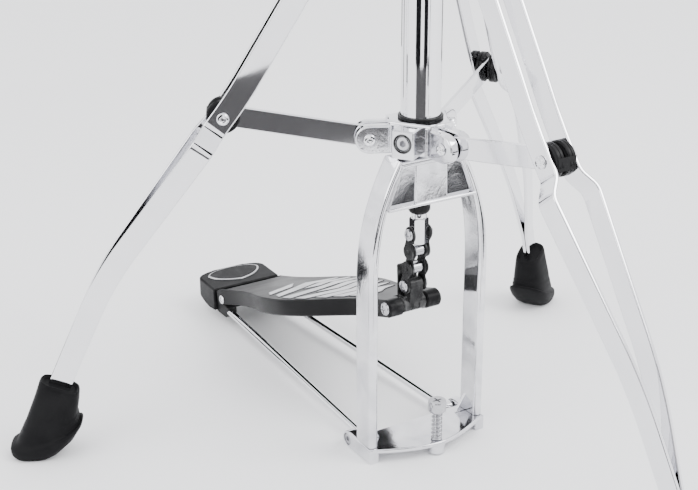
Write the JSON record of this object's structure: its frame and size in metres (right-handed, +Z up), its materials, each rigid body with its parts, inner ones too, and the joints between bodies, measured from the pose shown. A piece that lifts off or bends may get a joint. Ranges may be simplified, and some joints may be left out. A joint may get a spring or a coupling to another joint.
{
  "type": "hi-hat stand",
  "caption": "Double-braced hi-hat stand with folding tripod, yoke frame, footboard, chain drive, pull rod, tilting cymbal seat and clutch.",
  "frame": {"origin": "on the axis of the tube, at floor level", "axes": "+Z up along the tube; the player sits on the -Y side with the heel end of the pedal; +X to the side"},
  "size_m": [0.4811, 0.5578, 0.88],
  "materials": {
    "chrome": "polished chrome plate",
    "cast_chrome": "chrome plate over a casting",
    "steel": "bright zinc-plated steel",
    "black_plastic": "moulded black nylon",
    "black_cast": "satin black powder coat on cast aluminium",
    "black_steel": "black oxide on steel",
    "rubber": "matt black moulded rubber",
    "felt": "pressed wool felt, charcoal"
  },
  "bodies": {
    "base": {"base_plate": "cast_chrome", "yoke_frame": "cast_chrome", "lower_tube": "chrome", "tube_bushing": "black_plastic", "return_spring": "steel", "radius_rod_left": "chrome", "radius_rod_right": "chrome", "rod_screw_left": "steel", "rod_screw_right": "steel", "heel_plate": "black_cast", "heel_pin": "chrome", "height_clamp": "cast_chrome"},
    "height_bolt": {"height_wing_bolt": "chrome"},
    "spur_slider": {"spur_spring": "steel"},
    "spur": {"spur_screw": "steel"},
    "tripod": {"lower_collar": "cast_chrome", "collar_screw": "steel", "swivel_bushing": "black_plastic", "leg_1_pivot_rivet": "chrome", "leg_2_pivot_rivet": "chrome", "leg_3_pivot_rivet": "chrome"},
    "slide_collar": {"upper_collar": "cast_chrome"},
    "collar_bolt": {"collar_wing_bolt": "chrome"},
    "leg_1": {"leg_1_strap_a": "chrome", "leg_1_strap_b": "chrome", "leg_1_spacer": "black_plastic", "leg_1_rivet": "chrome", "leg_1_foot": "rubber"},
    "strut_1": {"leg_1_strut": "chrome"},
    "leg_2": {"leg_2_strap_a": "chrome", "leg_2_strap_b": "chrome", "leg_2_spacer": "black_plastic", "leg_2_rivet": "chrome", "leg_2_foot": "rubber"},
    "strut_2": {"leg_2_strut": "chrome"},
    "leg_3": {"leg_3_strap_a": "chrome", "leg_3_strap_b": "chrome", "leg_3_spacer": "black_plastic", "leg_3_rivet": "chrome", "leg_3_foot": "rubber"},
    "strut_3": {"leg_3_strut": "chrome"},
    "board": {"footboard": "black_cast", "toe_pin": "chrome"},
    "toe_link": {"toe_bracket": "black_cast"},
    "rod": {"pull_rod": "chrome", "rod_nut": "chrome", "chain_screw_top": "chrome"},
    "chain": {"chain_upper_link": "black_steel", "chain_inner_link": "black_steel", "chain_lower_link": "black_steel", "chain_screw_bottom": "chrome"},
    "roller_upper": {"chain_roller_upper": "chrome"},
    "roller_lower": {"chain_roller_lower": "chrome"},
    "upper_tube": {"upper_tube": "chrome"},
    "seat": {"seat_cup": "cast_chrome", "seat_felt": "felt"},
    "seat_screw": {"tilt_screw": "chrome"},
    "clutch": {"clutch_body": "chrome", "clutch_felts": "felt"},
    "clutch_screw": {"clutch_wing_screw": "chrome"}
  },
  "joints": [
    {"name": "height_bolt_turn", "type": "hinge", "parent": "base", "child": "height_bolt", "pos_m": [0, 0, 0.475], "axis": [0.8453, 0.5344, 0], "continuous": true},
    {"name": "spur_rise", "type": "slide", "parent": "base", "child": "spur_slider", "axis": [0, 0, 1], "range_m": [0, 0.00625], "deforming": ["spur_spring"]},
    {"name": "spur_turn", "type": "hinge", "parent": "spur_slider", "child": "spur", "pos_m": [0, 0.0245, 0.02], "axis": [0, 0, 1], "range_deg": [0, 1800]},
    {"name": "tripod_turn", "type": "hinge", "parent": "base", "child": "tripod", "pos_m": [0, 0, 0.218], "axis": [0, 0, 1], "range_deg": [-40, 40]},
    {"name": "collar_slide", "type": "slide", "parent": "tripod", "child": "slide_collar", "axis": [0, 0, 1], "range_m": [0, 0.05]},
    {"name": "collar_bolt_turn", "type": "hinge", "parent": "slide_collar", "child": "collar_bolt", "pos_m": [0, 0, 0.3705], "axis": [0.8453, 0.5344, 0], "continuous": true},
    {"name": "leg_1_fold", "type": "hinge", "parent": "slide_collar", "child": "leg_1", "pos_m": [0.03267, -0.01715, 0.3712], "axis": [0.4648, 0.8854, 0], "range_deg": [0, 6.55]},
    {"name": "strut_1_fold", "type": "hinge", "parent": "tripod", "child": "strut_1", "pos_m": [0.02895, -0.0152, 0.2164], "axis": [-0.4648, -0.8854, 0], "range_deg": [0, 27.55]},
    {"name": "leg_2_fold", "type": "hinge", "parent": "slide_collar", "child": "leg_2", "pos_m": [-0.00148, 0.03687, 0.3712], "axis": [-0.9992, -0.0401, 0], "range_deg": [0, 6.55]},
    {"name": "strut_2_fold", "type": "hinge", "parent": "tripod", "child": "strut_2", "pos_m": [-0.00131, 0.03267, 0.2164], "axis": [0.9992, 0.0401, 0], "range_deg": [0, 27.55]},
    {"name": "leg_3_fold", "type": "hinge", "parent": "slide_collar", "child": "leg_3", "pos_m": [-0.03119, -0.01972, 0.3712], "axis": [0.5344, -0.8453, 0], "range_deg": [0, 6.55]},
    {"name": "strut_3_fold", "type": "hinge", "parent": "tripod", "child": "strut_3", "pos_m": [-0.02764, -0.01747, 0.2164], "axis": [-0.5344, 0.8453, 0], "range_deg": [0, 27.55]},
    {"name": "board_press", "type": "hinge", "parent": "base", "child": "board", "pos_m": [0, -0.2353, 0.0222], "axis": [-1, 0, 0], "range_deg": [0, 8.5], "stiffness_Nm_per_rad": 80, "springref_deg": -3.44},
    {"name": "rod_drop", "type": "slide", "parent": "base", "child": "rod", "axis": [0, 0, -1], "range_m": [0, 0.03421], "deforming": ["return_spring"]},
    {"name": "chain_swing", "type": "hinge", "parent": "rod", "child": "chain", "pos_m": [0, 0, 0.1503], "axis": [1, 0, 0], "range_deg": [0, 9.72]},
    {"name": "toe_link_swing", "type": "hinge", "parent": "board", "child": "toe_link", "pos_m": [0, -0.0071, 0.0986], "axis": [1, 0, 0], "range_deg": [0, 18.21]},
    {"name": "roller_upper_spin", "type": "hinge", "parent": "chain", "child": "roller_upper", "pos_m": [0, -0.00173, 0.13772], "axis": [1, 0, 0], "continuous": true},
    {"name": "roller_lower_spin", "type": "hinge", "parent": "chain", "child": "roller_lower", "pos_m": [0, -0.00346, 0.12514], "axis": [1, 0, 0], "continuous": true},
    {"name": "height_slide", "type": "slide", "parent": "base", "child": "upper_tube", "axis": [0, 0, 1], "range_m": [-0.13, 0.02]},
    {"name": "seat_tilt", "type": "hinge", "parent": "upper_tube", "child": "seat", "pos_m": [0, 0, 0.697], "axis": [0, 1, 0], "range_deg": [-1.2, 1.2]},
    {"name": "seat_screw_turn", "type": "hinge", "parent": "seat", "child": "seat_screw", "pos_m": [0, 0, 0.691], "axis": [1, 0, 0], "continuous": true},
    {"name": "clutch_slide", "type": "slide", "parent": "rod", "child": "clutch", "axis": [0, 0, 1], "range_m": [-0.02, 0.06]},
    {"name": "clutch_screw_turn", "type": "hinge", "parent": "clutch", "child": "clutch_screw", "pos_m": [0, 0, 0.801], "axis": [1, 0, 0], "continuous": true}
  ],
  "couplings": [
    {"joint": "spur_turn", "follows": "spur_rise", "rad_per_m": 5026.5},
    {"joint": "rod_drop", "follows": "board_press", "m_per_rad": 0.2299},
    {"joint": "chain_swing", "follows": "board_press", "ratio": 1.141},
    {"joint": "toe_link_swing", "follows": "board_press", "ratio": 2.14},
    {"joint": "leg_1_fold", "follows": "collar_slide", "rad_per_m": 2.2827},
    {"joint": "strut_1_fold", "follows": "collar_slide", "rad_per_m": 9.6134},
    {"joint": "leg_2_fold", "follows": "collar_slide", "rad_per_m": 2.2827},
    {"joint": "strut_2_fold", "follows": "collar_slide", "rad_per_m": 9.6134},
    {"joint": "leg_3_fold", "follows": "collar_slide", "rad_per_m": 2.2827},
    {"joint": "strut_3_fold", "follows": "collar_slide", "rad_per_m": 9.6134}
  ]
}
